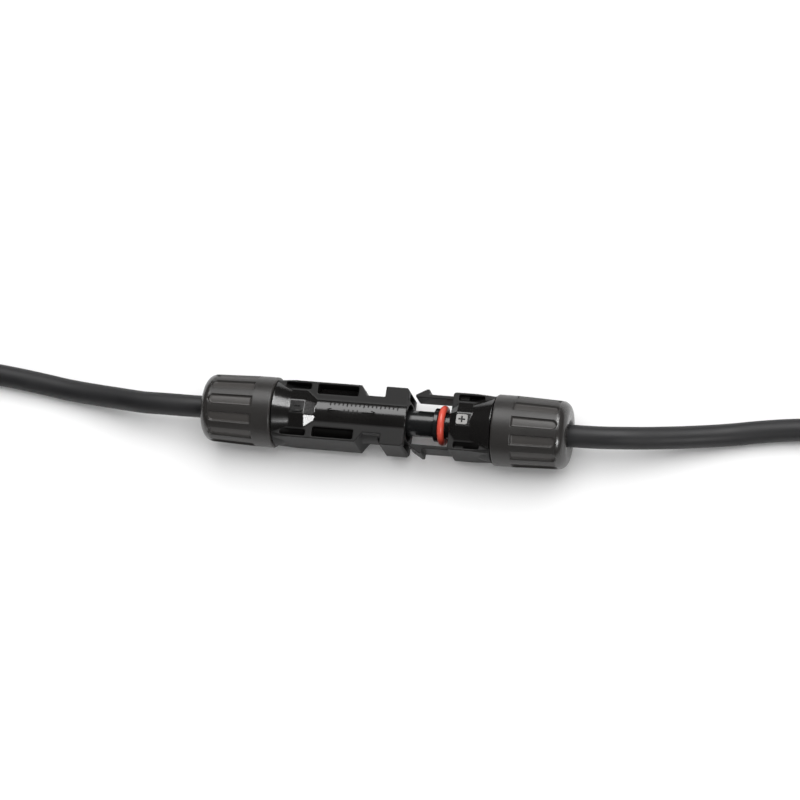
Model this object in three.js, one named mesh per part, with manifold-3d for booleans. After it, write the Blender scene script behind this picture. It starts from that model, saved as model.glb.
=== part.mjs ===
// Solar cable connector: a pin half and a socket half, partly plugged together, each on its own lead.
// Millimetres, +Z up. X runs along the connector, from the pin half's cable to the socket half's cable.
// The origin is midway between the two gland nuts, on the surface that the nuts rest on.
import * as THREE from "three";
import { mergeVertices } from "three/addons/utils/BufferGeometryUtils.js";
import Module from "manifold-3d";

const wasm = await Module();
wasm.setup();

// Driving dimensions.
const SIDES = 32; // facets round a turned part, one of them square to -Z
const FINE_SIDES = 16; // facets round a small turned part
const GAP = 0.3; // clearance between separate pieces

const NUT_R = 9.5; // to the flats of the nut's facets
const NUT_LENGTH = 20.1;
const NUT_RING = 5.5; // the smooth ring at the nut's front
const NUT_REAR_R = 9.1; // the nut tapers from its ring to here
const NUT_ROUND = 2.7; // rounding at the nut's cable end
const FLUTES = 12;
const FLUTE_WIDTH = 2.9;
const FLUTE_DEPTH = 0.6;
const FLUTE_END = 17.7;
const NUT_TO_NUT = 99.8; // over both nuts

const PITCH = 2.0; // of the gland thread
const THREAD_CORE_R = 6.9;
const THREAD_CREST_R = 7.6;
const NUT_CREST_R = 7.3;
const NUT_BORE_R = 7.95;
const GLAND_LENGTH = 11.5; // of the threaded neck inside the nut
const CABLE_HOLE_R = 3.6; // through the nut's rear wall

const PLATE_Y = 7.95; // half width of the flat wings
const PLATE_Z = 5.5; // half thickness of the flat wings
const TUBE_R = 6.3; // the long tube that bulges through the wings
const NECK_R = 7.4; // the short round neck beside the cone
const RIM_R = 9.0; // the cone's large end, against the nut
const CONE_LENGTH = 4.8;
const NECK_LENGTH = 3.7;
const CHAMFER_LENGTH = 2.9; // from the neck down to the tube
const NECK_SIDES = 12; // the neck and its chamfer are faceted
const COLLAR_FACE_X = 6.4;
const COLLAR_Y = 8.1;
const SOCKET_FACE_X = 18.4;
const RIM_LIMIT = { run: 6.0, runR: 9.75, frontR: 9.95 }; // the wings stay inside this round outline

const LARGE_POCKET = { x0: -18.6, x1: -7.4, y0: 4.65, y1: 7.35 };
const SMALL_POCKET = { x0: -27.4, x1: -20.5, y0: 5.65, y1: 7.35 };
const SOCKET_POCKET = { x0: 20.0, x1: 27.0, y0: 5.65, y1: 7.35 };
const POCKET_WEB = 1.3; // half thickness of what is left between a top and a bottom pocket
const SHALLOW_WEB = 3.9; // the same where a latch arm is rooted in between

const SEAT_R = 4.95; // where the O-ring seals
const NOSE_BORE_R = 3.9;
const NOSE_BORE_END_X = -15.5;
const CONTACT_BORE_R = 3.3;
const SEAL_BORE_R = 5.3;
const SEAL_BORE_DEPTH = 6.8;

const NOSE_TIP_X = -2.0;
const NOSE_R = 3.5;
const NOSE_BORE_INNER_R = 2.85;
const FLANGE_R = 4.55;
const FLANGE = { x0: 13.5, x1: 14.7 };
const RING_R = 4.5; // O-ring: middle of its section
const RING_WIRE_R = 0.9;
const RING_X = 15.75;
const SEAT_DEPTH = 5.5;

const ARM_HINGE_X = 20.9;
const ARM_HINGE_Y = 7.0;
const ARM_THICKNESS = 1.0;
const ARM_TIP_X = 7.7;
const ARM_HALF_HEIGHT = 3.05;
const BARB_HEEL_X = 11.3;
const BARB_Y = 8.9;
const ARM_POCKET = { x: 22.0, y0: 5.8, y1: 7.65, halfHeight: 3.35 };
const CHANNEL = { y0: 5.35, y1: 7.4, halfHeight: 3.35 };
const NOTCH = { start: -6.7, floorStart: -4.9, end: 0.0, floorY: 5.2 };

const CORD_R = 3.0;
const CORD_SIDES = 8;
const CORD_STEPS = 28;
const CORD_LIFT = 0.04; // keeps a facet's corner off the surface below
const CONDUCTOR_R = 1.3;
const CORE_R = 2.2; // inner insulation, over the strands
const LEAD_LENGTH = 250.0; // from the nut to the end of the sheath
const FOLD_R = 18.0; // the hank's end loop
const FLARE_R = 40.0; // where the hank's two runs part
const RUN_SPACING = 6.3; // between the hank's two runs
const HANK_HEIGHT = 6.2;
const TIE_FROM_MOUTH = 12.0;
const TIE_WIDTH = 3.6;
const TIE_THICKNESS = 0.8;
const TIE_INNER_HEIGHT = 6.2;

const STRIPPED = { core: 5.0, strands: 13.0 }; // from the end of the sheath

const AXIS_Z = NUT_R;
const RIM_X = NUT_TO_NUT / 2 - NUT_LENGTH; // where each cone meets its nut
const TO_CORNER = 1 / Math.cos(Math.PI / SIDES); // a facet's corner stands this much further out

// Each lead's stretch that isn't folded, from inside the seal to the mouth of its hank.
const PIN_LEAD = [
  [-35.6, 0, 9.5], [-49.9, 0, 9.5], [-58, 0, 9.4], [-63, 0.1, 9.1], [-68, 0.3, 8.3], [-73, 0.9, 7.2],
  [-78, 1.6, 6.0], [-83, 2.3, 4.8], [-88, 3.0, 3.8], [-93, 3.7, 3.2], [-98, 4.5, 3.0], [-106, 5.6, 3.0],
  [-114, 6.5, 3.0], [-122, 7.1, 3.0], [-130, 7.3, 3.0],
];
const SOCKET_LEAD = [
  [35.6, 0, 9.5], [49.9, 0, 9.5], [58, 0.2, 9.4], [63, 0.6, 9.1], [68, 1.2, 8.3], [73, 2.0, 7.2],
  [78, 2.9, 6.0], [83, 3.9, 4.8], [88, 4.9, 3.8], [93, 5.9, 3.2], [98, 6.9, 3.0], [106, 8.1, 3.0],
  [114, 8.9, 3.0], [120, 9.2, 3.0], [126, 9.3, 3.0],
];

const blackNylon = new THREE.MeshStandardMaterial({ color: 0x111214, roughness: 0.34 });
const nutPlastic = new THREE.MeshStandardMaterial({ color: 0x1b1c1e, roughness: 0.62 });
const cagePlastic = new THREE.MeshStandardMaterial({ color: 0x2a2b2d, roughness: 0.6 });
const sealRubber = new THREE.MeshStandardMaterial({ color: 0x0c0c0c, roughness: 0.8 });
const ringRubber = new THREE.MeshStandardMaterial({ color: 0xe14834, roughness: 0.45 });
const sheath = new THREE.MeshStandardMaterial({ color: 0x141416, roughness: 0.7 });
const innerInsulation = new THREE.MeshStandardMaterial({ color: 0xe6e3dc, roughness: 0.6 });
const tinnedCopper = new THREE.MeshStandardMaterial({ color: 0xc9c8c4, roughness: 0.3, metalness: 1 });
const springSteel = new THREE.MeshStandardMaterial({ color: 0xb4b6b9, roughness: 0.35, metalness: 1 });
const tieNylon = new THREE.MeshStandardMaterial({ color: 0x101010, roughness: 0.5 });

// A closed three.js geometry as a solid with its faces pointing out.
function solid(geometry) {
  const bare = new THREE.BufferGeometry().setAttribute("position", geometry.getAttribute("position"));
  if (geometry.index) bare.setIndex(geometry.index);
  const merged = mergeVertices(bare, 1e-4);
  const corners = merged.index.array;
  const kept = [];
  for (let i = 0; i < corners.length; i += 3) {
    const [a, b, c] = [corners[i], corners[i + 1], corners[i + 2]];
    if (a !== b && b !== c && c !== a) kept.push(a, b, c);
  }
  const vertProperties = merged.attributes.position.array;
  const make = (list) => {
    const triVerts = new Uint32Array(list);
    return new wasm.Manifold(new wasm.Mesh({ numProp: 3, vertProperties, triVerts }));
  };
  const made = make(kept);
  return made.volume() < 0 ? make(kept.reverse()) : made;
}

// A turned part round X. The profile is a list of [x, radius]: it closes on itself or ends on the axis.
function turned(profile, sides = SIDES) {
  const points = profile.map(([x, r]) => new THREE.Vector2(r, x));
  if (profile[0][1] > 0) points.push(points[0].clone());
  return solid(new THREE.LatheGeometry(points, sides, Math.PI / sides).rotateZ(-Math.PI / 2));
}

// A plain round bar or tool for a bore, from x0 to x1.
function bar(x0, x1, radius, sides = FINE_SIDES) {
  return turned([[x0, 0], [x0, radius], [x1, radius], [x1, 0]], sides);
}

// A plain round tube from x0 to x1.
function tube(x0, x1, inner, outer, sides = FINE_SIDES) {
  return turned([[x0, inner], [x0, outer], [x1, outer], [x1, inner]], sides);
}

function block(x0, x1, y0, y1, z0, z1) {
  const box = new THREE.BoxGeometry(x1 - x0, y1 - y0, z1 - z0);
  return solid(box.translate((x0 + x1) / 2, (y0 + y1) / 2, (z0 + z1) / 2));
}

// The same box on side 1 or -1 of the connector: y0 and y1 are measured out from the axis.
function sideBlock(side, x0, x1, y0, y1, z0, z1) {
  return side > 0 ? block(x0, x1, y0, y1, z0, z1) : block(x0, x1, -y1, -y0, z0, z1);
}

// An outline in the XY plane, extruded from z0 to z1.
function slab(outline, z0, z1) {
  const shape = new THREE.Shape(outline.map(([x, y]) => new THREE.Vector2(x, y)));
  const options = { depth: z1 - z0, bevelEnabled: false, steps: 1 };
  return solid(new THREE.ExtrudeGeometry(shape, options).translate(0, 0, z0));
}

function joined(first, ...others) {
  return others.reduce((sum, other) => sum.add(other), first);
}

function cut(first, ...tools) {
  return tools.reduce((rest, tool) => rest.subtract(tool), first);
}

// Both mirror images of a tool in Y.
function onBothSides(make) {
  return joined(make(1), make(-1));
}

function node(name, shape, material) {
  const mesh = shape.getMesh();
  const geometry = new THREE.BufferGeometry();
  geometry.setAttribute("position", new THREE.BufferAttribute(new Float32Array(mesh.vertProperties), 3));
  geometry.setIndex(new THREE.BufferAttribute(new Uint32Array(mesh.triVerts), 1));
  geometry.computeVertexNormals();
  const made = new THREE.Mesh(geometry, material);
  made.name = name;
  return made;
}

// A right-handed helical ridge round X. The section is [axial, radius] points about the ridge's middle.
// Its ends shrink back to the root over a quarter of a turn.
function threadRidge(start, turns, section, rootR) {
  const STEPS_PER_TURN = 12;
  const RUN_OUT = 0.25;
  const shape = new THREE.Shape(section.map(([a, r]) => new THREE.Vector2(a, r)));
  const options = { depth: turns, bevelEnabled: false, steps: Math.round(turns * STEPS_PER_TURN) };
  const ridge = new THREE.ExtrudeGeometry(shape, options);
  const position = ridge.getAttribute("position");
  for (let i = 0; i < position.count; i++) {
    const turn = position.getZ(i);
    const full = Math.min(1, turn / RUN_OUT, (turns - turn) / RUN_OUT);
    const radius = rootR + (position.getY(i) - rootR) * Math.max(full, 0.12);
    const angle = turn * 2 * Math.PI;
    const x = start + position.getX(i) + turn * PITCH;
    position.setXYZ(i, x, radius * Math.cos(angle), radius * Math.sin(angle));
  }
  return solid(ridge);
}

// ---- Gland: each is made along +X with the cone's rim at x = 0 and the cable leaving at +X ----

const RIDGE = { base: 1.0, tip: 0.45, embed: 0.25 };

function threadSection(rootR, crestR) {
  const { base, tip } = RIDGE;
  return [[-base / 2, rootR], [-tip / 2, crestR], [tip / 2, crestR], [base / 2, rootR]];
}

function nutFlutes() {
  const tools = [];
  const taper = Math.atan((NUT_R - NUT_REAR_R) / (NUT_LENGTH - NUT_ROUND - NUT_RING));
  const middle = (NUT_RING + FLUTE_END) / 2;
  const half = FLUTE_WIDTH / 2;
  const reach = (FLUTE_END - NUT_RING) / 2;
  for (let i = 0; i < FLUTES; i++) {
    const shape = new THREE.Shape();
    shape.moveTo(-reach, -half);
    shape.lineTo(reach - half, -half);
    shape.absarc(reach - half, 0, half, -Math.PI / 2, Math.PI / 2, false);
    shape.lineTo(-reach, half);
    const options = { depth: 3, bevelEnabled: false, curveSegments: 2 };
    const tool = new THREE.ExtrudeGeometry(shape, options);
    tool.rotateY(taper);
    tool.translate(middle, 0, (NUT_R + NUT_REAR_R) / 2 - FLUTE_DEPTH);
    tool.rotateX(((i + 0.5) * 2 * Math.PI) / FLUTES);
    tools.push(solid(tool));
  }
  return tools;
}

function glandNut() {
  const EDGE = 0.4;
  const outer = NUT_R * TO_CORNER;
  const rear = NUT_REAR_R * TO_CORNER;
  const profile = [[GAP, NUT_BORE_R], [GAP, outer - EDGE], [GAP + EDGE, outer], [NUT_RING, outer]];
  const STEPS = 4;
  for (let i = 0; i <= STEPS; i++) {
    const angle = (i / STEPS) * (Math.PI / 2);
    const x = NUT_LENGTH - NUT_ROUND * (1 - Math.sin(angle));
    profile.push([x, rear - NUT_ROUND * (1 - Math.cos(angle))]);
  }
  const CONE = { start: 14.3, end: 17.6, startR: 7.4 };
  profile.push([NUT_LENGTH, CABLE_HOLE_R], [CONE.end, CABLE_HOLE_R]);
  profile.push([CONE.start, CONE.startR], [12.6, NUT_BORE_R]);
  const body = cut(turned(profile), ...nutFlutes());
  const root = NUT_BORE_R + RIDGE.embed;
  return joined(body, threadRidge(2.0, 2.5, threadSection(root, NUT_CREST_R), root));
}

// The threaded neck of a housing. The bore inside it is cut later.
function glandNeck() {
  const core = turned([[-0.5, 0], [-0.5, THREAD_CORE_R], [GLAND_LENGTH, THREAD_CORE_R], [GLAND_LENGTH, 0]]);
  const root = THREAD_CORE_R - RIDGE.embed;
  return joined(core, threadRidge(1.0, 4.0, threadSection(root, THREAD_CREST_R), root));
}

// The split cage that grips the cable: a ring in the seal bore, and fingers under the nut's cone.
function clampCage() {
  const FINGERS = 6;
  const SLOT = 1.0;
  const profile = [
    [10.4, 3.35], [10.4, 4.9], [11.9, 4.9], [12.1, 6.6], [13.9, 6.9], [16.9, 3.9], [16.9, 3.35],
  ];
  let cage = turned(profile, FINE_SIDES);
  for (let i = 0; i < FINGERS / 2; i++) {
    const slot = new THREE.BoxGeometry(6, 16, SLOT);
    slot.translate(12.8 + 3, 0, 0).rotateX((i * 2 * Math.PI) / FINGERS + 0.2);
    cage = cage.subtract(solid(slot));
  }
  return cage;
}

// The rubber seal: a thick sleeve with two raised bands.
function cableSeal() {
  return turned([
    [5.0, 3.25], [5.0, 5.0], [6.0, 5.0], [6.4, 4.7], [7.0, 4.7], [7.4, 5.0],
    [8.4, 5.0], [8.8, 4.7], [9.4, 4.7], [9.8, 5.0], [10.1, 5.0], [10.1, 3.25],
  ], FINE_SIDES);
}

// A split retaining clip between a contact's two shoulders.
function contactClip(x0, x1, r0, r1) {
  const WALL = 0.35;
  const sleeve = turned([[x0, r0], [x0, r0 + WALL], [x1, r1 + WALL], [x1, r1]], FINE_SIDES);
  return sleeve.subtract(block(x0 - 1, x1 + 1, 0, 6, -0.5, 0.5));
}

// ---- Housings ----

// The wings' limit: they run out under the nut's rim and never stand outside it.
function rimLimit(direction, frontX) {
  const { run, runR, frontR } = RIM_LIMIT;
  const profile = [[RIM_X, 0], [RIM_X, RIM_R], [RIM_X - run, runR], [frontX, frontR], [frontX, 0]];
  return turned(profile.map(([x, r]) => [direction * x, r]));
}

// A pocket on the top and the bottom of both wings. web is half of the thickness left between the two.
function wingPocket({ x0, x1, y0, y1 }, web = POCKET_WEB) {
  const above = PLATE_Z + 1;
  return onBothSides((side) =>
    joined(sideBlock(side, x0, x1, y0, y1, web, above), sideBlock(side, x0, x1, y0, y1, -above, -web))
  );
}

// The faceted neck and its chamfer, with one facet square to the top. Radii are to the facets.
function facetedNeck(profile) {
  const toCorner = 1 / Math.cos(Math.PI / NECK_SIDES);
  return turned(profile.map(([x, r]) => [x, r * toCorner]), NECK_SIDES);
}

// Raised pads for the polarity mark, on the top and the bottom of the neck.
function neckPads(x0, x1) {
  const HALF_WIDTH = 1.35;
  const z = NECK_R + 0.3;
  return block(x0, x1, -HALF_WIDTH, HALF_WIDTH, -z, z);
}

function pinHousing() {
  const EDGE = 0.4;
  const rear = -RIM_X;
  const neckRear = rear + CONE_LENGTH;
  const neckFront = neckRear + NECK_LENGTH;
  const tubeStart = neckFront + CHAMFER_LENGTH;
  const half = [
    [rear, PLATE_Y], [NOTCH.start, PLATE_Y], [NOTCH.floorStart, NOTCH.floorY],
    [NOTCH.end, NOTCH.floorY], [NOTCH.end, COLLAR_Y - EDGE], [NOTCH.end + EDGE, COLLAR_Y],
    [COLLAR_FACE_X - EDGE, COLLAR_Y], [COLLAR_FACE_X, COLLAR_Y - EDGE],
  ];
  const outline = [...half, ...half.map(([x, y]) => [x, -y]).reverse()];
  const pockets = joined(wingPocket(LARGE_POCKET), wingPocket(SMALL_POCKET));
  const plate = slab(outline, -PLATE_Z, PLATE_Z).intersect(rimLimit(-1, -COLLAR_FACE_X)).subtract(pockets);
  const cone = turned([[rear, 0], [rear, RIM_R], [neckRear, NECK_R], [neckRear, 0]]);
  const neck = facetedNeck([
    [neckRear - GAP, 0], [neckRear - GAP, NECK_R], [neckFront, NECK_R], [tubeStart, TUBE_R], [tubeStart, 0],
  ]);
  const tubeBody = bar(tubeStart - 1, COLLAR_FACE_X, TUBE_R, SIDES);
  const pads = neckPads(neckRear + GAP, neckFront - GAP);
  const gland = glandNeck().rotate([0, 0, 180]).translate([rear, 0, 0]);
  const channels = onBothSides((side) => {
    const { y0, y1, halfHeight } = CHANNEL;
    return sideBlock(side, NOTCH.end - 1, COLLAR_FACE_X + 1, y0, y1, -halfHeight, halfHeight);
  });
  const glandEnd = rear - GLAND_LENGTH;
  return cut(
    joined(plate, cone, neck, tubeBody, pads, gland),
    bar(COLLAR_FACE_X - SEAT_DEPTH, COLLAR_FACE_X + 1, SEAT_R, SIDES),
    bar(NOSE_BORE_END_X, COLLAR_FACE_X, NOSE_BORE_R, FINE_SIDES),
    bar(glandEnd - 1, NOSE_BORE_END_X + 1, 2.35),
    bar(glandEnd - 1, NOSE_BORE_END_X - 1.8, CONTACT_BORE_R),
    bar(glandEnd - 1, glandEnd + SEAL_BORE_DEPTH, SEAL_BORE_R),
    channels,
  );
}

function socketHousing() {
  const EDGE = 0.6;
  const face = SOCKET_FACE_X;
  const neckRear = RIM_X - CONE_LENGTH - 1;
  const neckFront = neckRear - NECK_LENGTH;
  const outline = [
    [face, -PLATE_Y + EDGE], [face + EDGE, -PLATE_Y], [RIM_X, -PLATE_Y],
    [RIM_X, PLATE_Y], [face + EDGE, PLATE_Y], [face, PLATE_Y - EDGE],
  ];
  const deepPocket = { ...SOCKET_POCKET, x0: ARM_POCKET.x + GAP };
  const pockets = joined(wingPocket(SOCKET_POCKET, SHALLOW_WEB), wingPocket(deepPocket));
  const plate = slab(outline, -PLATE_Z, PLATE_Z).intersect(rimLimit(1, face)).subtract(pockets);
  const cone = turned([[neckRear, 0], [neckRear, NECK_R], [RIM_X, RIM_R], [RIM_X, 0]]);
  const neck = facetedNeck([
    [face, 0], [face, TUBE_R], [neckFront, NECK_R], [neckRear + GAP, NECK_R], [neckRear + GAP, 0],
  ]);
  const nose = turned([
    [NOSE_TIP_X, 0], [NOSE_TIP_X, NOSE_R - 0.5], [NOSE_TIP_X + 0.6, NOSE_R], [FLANGE.x0, NOSE_R],
    [FLANGE.x0, FLANGE_R], [FLANGE.x1, FLANGE_R], [FLANGE.x1, NOSE_R], [face + 0.5, NOSE_R],
    [face + 0.5, 0],
  ]);
  const pads = neckPads(neckFront + GAP, neckRear - GAP);
  const gland = glandNeck().translate([RIM_X, 0, 0]);
  const armPockets = onBothSides((side) => {
    const { x, y0, y1, halfHeight } = ARM_POCKET;
    return sideBlock(side, face - 1, x, y0, y1, -halfHeight, halfHeight);
  });
  const glandEnd = RIM_X + GLAND_LENGTH;
  return cut(
    joined(plate, cone, neck, nose, pads, gland),
    bar(NOSE_TIP_X - 1, glandEnd, NOSE_BORE_INNER_R),
    bar(face + 1.1, glandEnd + 1, CONTACT_BORE_R),
    bar(glandEnd - SEAL_BORE_DEPTH, glandEnd + 1, SEAL_BORE_R),
    armPockets,
  );
}

// A latch arm in plan: a barb at its tip, and a round root on its hinge. side is 1 far, -1 near.
function latchArm(side) {
  const inner = ARM_HINGE_Y - ARM_THICKNESS / 2;
  const outer = ARM_HINGE_Y + ARM_THICKNESS / 2;
  const outline = [
    [ARM_HINGE_X, inner], [ARM_TIP_X, inner], [ARM_TIP_X, outer - 0.3], [BARB_HEEL_X - 0.5, BARB_Y],
    [BARB_HEEL_X, BARB_Y], [BARB_HEEL_X, outer], [ARM_HINGE_X, outer],
  ];
  const rootR = ARM_THICKNESS / 2;
  const root = new THREE.CylinderGeometry(rootR, rootR, 2 * ARM_HALF_HEIGHT, FINE_SIDES);
  root.rotateX(Math.PI / 2).translate(ARM_HINGE_X, side * ARM_HINGE_Y, 0);
  const plan = outline.map(([x, y]) => [x, side * y]);
  return slab(plan, -ARM_HALF_HEIGHT, ARM_HALF_HEIGHT).add(solid(root));
}

function oRing() {
  const ring = new THREE.TorusGeometry(RING_R, RING_WIRE_R, 8, 24);
  return solid(ring.rotateY(Math.PI / 2).translate(RING_X, 0, 0));
}

// ---- Contacts, made in the housings' own places ----

function pinContact() {
  const TIP_X = -4.0;
  const body = turned([
    [-33.5, 0], [-33.5, 2.5], [-25.5, 2.5], [-25.3, 2.9], [-24.3, 2.9], [-24.3, 1.9], [-20.2, 1.9],
    [-20.2, 2.9], [-18.0, 2.9], [-17.6, 2.0], [TIP_X - 1.2, 2.0], [TIP_X, 1.1], [TIP_X, 0],
  ], FINE_SIDES);
  return body.subtract(bar(-34, -26.5, CONDUCTOR_R + GAP));
}

function socketContact() {
  const body = turned([
    [NOSE_TIP_X + 1.4, 0], [NOSE_TIP_X + 1.4, 2.65], [19.8, 2.65], [19.8, 2.95], [21.0, 2.95],
    [21.0, 1.9], [24.2, 1.9], [24.2, 2.9], [25.2, 2.9], [25.4, 2.5], [33.5, 2.5], [33.5, 0],
  ], FINE_SIDES);
  return cut(body, bar(-2, 13, 2.35), bar(26.5, 34, CONDUCTOR_R + GAP));
}

// The springy lining of the socket: a thin split sleeve that grips the pin.
function contactSleeve() {
  return tube(0.2, 9.0, 2.05, 2.25).subtract(block(-1, 10, 0, 4, -0.3, 0.3));
}

// ---- Leads ----

function leadCurve(route) {
  const points = route.map(([x, y, z]) => new THREE.Vector3(x, y, z));
  return new THREE.CatmullRomCurve3(points, false, "centripetal");
}

function leadTube(route) {
  const section = new THREE.Shape();
  section.absarc(0, 0, CORD_R - CORD_LIFT, 0, 2 * Math.PI, false);
  const extrudePath = leadCurve(route);
  const options = { steps: CORD_STEPS, bevelEnabled: false, curveSegments: CORD_SIDES / 2, extrudePath };
  return solid(new THREE.ExtrudeGeometry(section, options));
}

// The hank's path from its mouth, heading +X in its own frame: two runs that part into an end loop.
// It returns the points to the left of the path by a given distance.
function hankPath(runLength, leftBy) {
  const turn = Math.acos((FLARE_R + RUN_SPACING / 2) / (FLARE_R + FOLD_R));
  const flareX = runLength + FLARE_R * Math.sin(turn);
  const loopX = flareX + FOLD_R * Math.sin(turn);
  const flareY = RUN_SPACING / 2 + FLARE_R;
  const points = [[0, RUN_SPACING / 2 + leftBy]];
  const arc = (x, y, radius, from, to, steps) => {
    for (let i = 0; i <= steps; i++) {
      const angle = from + ((to - from) * i) / steps;
      points.push([x + radius * Math.cos(angle), y + radius * Math.sin(angle)]);
    }
  };
  arc(runLength, flareY, FLARE_R - leftBy, -Math.PI / 2, -Math.PI / 2 + turn, 6);
  arc(loopX, 0, FOLD_R + leftBy, Math.PI / 2 + turn, -Math.PI / 2 - turn, 20);
  arc(runLength, -flareY, FLARE_R - leftBy, Math.PI / 2 - turn, Math.PI / 2, 6);
  points.push([0, -RUN_SPACING / 2 - leftBy]);
  return points;
}

function hankRunLength(route) {
  const insideNut = NUT_TO_NUT / 2 - Math.abs(route[0][0]);
  const laid = leadCurve(route).getLength() - insideNut;
  const turn = Math.acos((FLARE_R + RUN_SPACING / 2) / (FLARE_R + FOLD_R));
  const loop = 2 * FLARE_R * turn + FOLD_R * (Math.PI + 2 * turn);
  return (LEAD_LENGTH - laid - loop) / 2;
}

// A lead with its hank, cable tie and stripped end. The cable runs away along direction (1 or -1).
function lead(name, route, direction) {
  const [mouthX, mouthY] = route[route.length - 1];
  const place = (x, y) => [mouthX + direction * x, mouthY - RUN_SPACING / 2 + y];
  const run = hankRunLength(route);
  const outline = hankPath(run, CORD_R + CORD_LIFT).map(([x, y]) => place(x + GAP, y));
  const [tieX, tieY] = place(TIE_FROM_MOUTH, 0);
  const tieLow = tieX - TIE_WIDTH / 2;
  const tieHigh = tieX + TIE_WIDTH / 2;
  const groove = block(tieLow - 1, tieHigh + 1, tieY - 12, tieY + 12, -1, TIE_THICKNESS + GAP);
  const hank = slab(outline, 0, HANK_HEIGHT).subtract(groove);
  const innerY = RUN_SPACING / 2 + CORD_R + GAP;
  const strap = (grow, z0, z1) => {
    const reach = innerY + grow;
    return block(tieLow, tieHigh, tieY - reach, tieY + reach, z0, z1);
  };
  const top = TIE_THICKNESS + TIE_INNER_HEIGHT;
  const loop = strap(TIE_THICKNESS, 0, top + TIE_THICKNESS);
  const opening = block(tieLow - 1, tieHigh + 1, tieY - innerY, tieY + innerY, TIE_THICKNESS, top);
  const head = block(tieLow - 0.6, tieHigh + 0.6, tieY - 2.4, tieY + 2.4, top, top + 3.2);
  const endY = place(0, -RUN_SPACING / 2)[1];
  const stub = (from, to, radius) => {
    const ends = [mouthX - direction * from, mouthX - direction * to].sort((a, b) => a - b);
    return bar(ends[0], ends[1], radius).translate([0, endY, CORD_R]);
  };
  return [
    node(name + "_lead", leadTube(route), sheath),
    node(name + "_lead_hank", hank, sheath),
    node(name + "_lead_tie", loop.subtract(opening).add(head), tieNylon),
    node(name + "_lead_core_end", stub(0, STRIPPED.core, CORE_R), innerInsulation),
    node(name + "_lead_strand_end", stub(STRIPPED.core + GAP, STRIPPED.strands, CONDUCTOR_R), tinnedCopper),
  ];
}

// ---- Assembly ----

const connector = new THREE.Group();

// What sits on the connector's axis, at the height of the nuts' middle.
const onAxis = new THREE.Group();
onAxis.position.z = AXIS_Z;
onAxis.add(
  node("pin_housing", pinHousing(), blackNylon),
  node("pin_contact", pinContact(), tinnedCopper),
  node("pin_contact_clip", contactClip(-24.0, -20.5, 2.75, 2.2), springSteel),
  node("pin_conductor", bar(-35.3, -26.8, CONDUCTOR_R), tinnedCopper),
  node("socket_housing", socketHousing(), blackNylon),
  node("latch_arm_far", latchArm(1), blackNylon),
  node("latch_arm_near", latchArm(-1), blackNylon),
  node("socket_o_ring", oRing(), ringRubber),
  node("socket_contact", socketContact(), tinnedCopper),
  node("socket_contact_sleeve", contactSleeve(), springSteel),
  node("socket_contact_clip", contactClip(21.3, 23.9, 2.2, 2.75), springSteel),
  node("socket_conductor", bar(26.8, 35.3, CONDUCTOR_R), tinnedCopper),
);
connector.add(onAxis);

for (const [name, direction] of [["pin", -1], ["socket", 1]]) {
  const gland = new THREE.Group();
  gland.position.set(direction * RIM_X, 0, AXIS_Z);
  if (direction < 0) gland.rotation.z = Math.PI;
  gland.add(
    node(name + "_gland_nut", glandNut(), nutPlastic),
    node(name + "_clamp_cage", clampCage(), cagePlastic),
    node(name + "_cable_seal", cableSeal(), sealRubber),
  );
  connector.add(gland);
}

connector.add(...lead("pin", PIN_LEAD, -1), ...lead("socket", SOCKET_LEAD, 1));

export default connector;
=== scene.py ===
"""Solar cable connector: the looks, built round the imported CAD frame.

Shapes are drawn in millimetres, about the connector's own axis, and moved into the frame when they are done.
"""

import math

import bmesh
import bpy
from mathutils import Matrix, Vector


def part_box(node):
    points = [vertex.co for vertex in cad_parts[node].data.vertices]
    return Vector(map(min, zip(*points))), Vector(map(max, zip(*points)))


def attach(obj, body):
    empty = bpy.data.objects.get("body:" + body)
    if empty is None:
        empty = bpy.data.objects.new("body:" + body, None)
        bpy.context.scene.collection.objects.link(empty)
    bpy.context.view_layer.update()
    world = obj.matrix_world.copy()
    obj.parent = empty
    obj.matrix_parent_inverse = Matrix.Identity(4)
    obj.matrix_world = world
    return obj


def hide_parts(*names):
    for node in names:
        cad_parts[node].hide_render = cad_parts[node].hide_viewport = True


MM = 0.001
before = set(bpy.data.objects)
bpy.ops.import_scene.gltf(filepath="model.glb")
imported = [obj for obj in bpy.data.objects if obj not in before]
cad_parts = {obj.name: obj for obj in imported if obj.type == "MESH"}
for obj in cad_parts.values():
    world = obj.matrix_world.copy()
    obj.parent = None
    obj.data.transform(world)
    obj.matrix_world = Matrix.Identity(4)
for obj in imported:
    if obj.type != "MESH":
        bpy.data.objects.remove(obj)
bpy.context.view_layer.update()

# ---- What the frame says, in millimetres ----


def span(node, axis):
    """Lowest and highest coordinate of a CAD node along one axis, in millimetres."""
    low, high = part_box(node)
    return low[axis] / MM, high[axis] / MM


AXIS_Z = sum(span("pin_gland_nut", 2)) / 2
NUT_R = (span("pin_gland_nut", 2)[1] - span("pin_gland_nut", 2)[0]) / 2
NUT_REAR, NUT_FRONT = span("socket_gland_nut", 0)[1], span("socket_gland_nut", 0)[0]
RIM_X = NUT_FRONT - 0.3
COLLAR_FACE = span("pin_housing", 0)[1]
NOSE_TIP = span("socket_housing", 0)[0]
ARM_TIP = span("latch_arm_far", 0)[0]
BARB_Y = span("latch_arm_far", 1)[1]
ARM_INNER_Y = span("latch_arm_far", 1)[0]
ARM_HALF_HEIGHT = (span("latch_arm_far", 2)[1] - span("latch_arm_far", 2)[0]) / 2
RING_X = sum(span("socket_o_ring", 0)) / 2
RING_OUTER_R = (span("socket_o_ring", 2)[1] - span("socket_o_ring", 2)[0]) / 2

# ---- Driving dimensions that the frame doesn't hold as a box, in millimetres ----

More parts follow.
